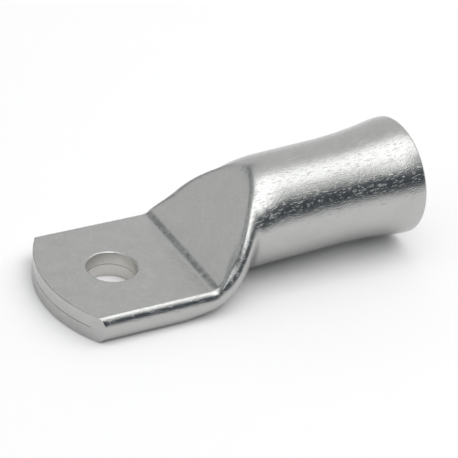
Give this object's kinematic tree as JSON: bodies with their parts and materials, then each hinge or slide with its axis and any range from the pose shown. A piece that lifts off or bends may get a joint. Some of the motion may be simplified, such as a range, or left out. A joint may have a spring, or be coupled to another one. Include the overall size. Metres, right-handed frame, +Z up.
{
  "type": "cable lug",
  "caption": "Tubular cable lug: a round barrel with a flared cable entry, pressed flat into a palm with a stud hole.",
  "frame": {"origin": "centre of the stud hole on the palm's underside", "axes": "+X from the palm towards the cable entry, +Z up out of the palm's upper side, +Y across the palm"},
  "size_m": [0.0695, 0.0282, 0.0222],
  "materials": {
    "tinned_copper": "satin tin plating over copper"
  },
  "bodies": {
    "root": {"cable_lug": "tinned_copper"}
  },
  "joints": []
}
